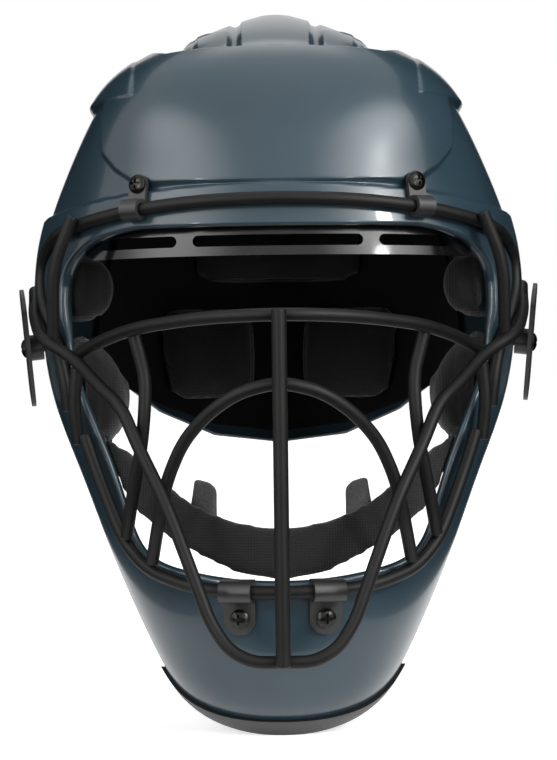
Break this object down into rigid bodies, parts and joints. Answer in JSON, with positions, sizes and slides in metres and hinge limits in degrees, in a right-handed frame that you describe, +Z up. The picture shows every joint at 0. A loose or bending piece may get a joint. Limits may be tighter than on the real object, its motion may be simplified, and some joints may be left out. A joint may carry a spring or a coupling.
{
  "type": "baseball catcher helmet",
  "caption": "Gloss shell with an open face, welded wire face cage on clips, tilting back plate on elastic straps, and padded inside",
  "frame": {"origin": "middle of the head, level with the ear canals", "axes": "-Y forward through the face, +Z up, +X towards the wearer's left"},
  "size_m": [0.24, 0.2921, 0.329],
  "materials": {
    "shell_gloss": "glossy",
    "trim_rubber": "matte",
    "cage_coating": "satin",
    "clip_plastic": "satin",
    "screw_steel": "satin",
    "liner_gloss": "glossy",
    "pad_fabric": "matte",
    "flap_foam": "matte",
    "strap_elastic": "matte"
  },
  "bodies": {
    "shell": {"arch_wire": "cage_coating", "brow_clip_left": "clip_plastic", "brow_clip_right": "clip_plastic", "brow_liner": "liner_gloss", "brow_screws": "screw_steel", "brow_wire": "cage_coating", "cage_nuts": "screw_steel", "centre_bar": "cage_coating", "cheek_pad_left": "pad_fabric", "cheek_pad_right": "pad_fabric", "cheek_strut_left": "cage_coating", "cheek_strut_right": "cage_coating", "chin_clip_left": "clip_plastic", "chin_clip_right": "clip_plastic", "chin_foam_left": "flap_foam", "chin_foam_right": "flap_foam", "chin_pad": "pad_fabric", "chin_screws": "screw_steel", "chin_trim": "trim_rubber", "crown_pads": "pad_fabric", "eye_wire": "cage_coating", "forehead_pad": "pad_fabric", "front_shell": "shell_gloss", "jaw_wire": "cage_coating", "shell_clamps": "clip_plastic", "side_clip_left": "clip_plastic", "side_clip_right": "clip_plastic", "side_screws": "screw_steel", "side_strap_left": "strap_elastic", "side_strap_right": "strap_elastic", "side_strut_left": "cage_coating", "side_strut_right": "cage_coating", "strap_screws": "screw_steel", "temple_pad_left": "pad_fabric", "temple_pad_right": "pad_fabric", "temple_strut_left": "cage_coating", "temple_strut_right": "cage_coating", "top_strap": "strap_elastic", "u_wire": "cage_coating"},
    "back_plate": {"back_plate": "shell_gloss", "back_pad_left": "pad_fabric", "back_pad_right": "pad_fabric", "back_pad_upper": "pad_fabric", "plate_clamps": "clip_plastic", "plate_screws": "screw_steel"}
  },
  "joints": [
    {"name": "back_plate_tilt", "type": "hinge", "parent": "shell", "child": "back_plate", "pos_m": [0, 0.108, 0.06], "axis": [1, 0, 0], "range_deg": [0, 28], "stiffness_Nm_per_rad": 0.6, "deforming": ["side_strap_left", "side_strap_right", "top_strap"]}
  ]
}
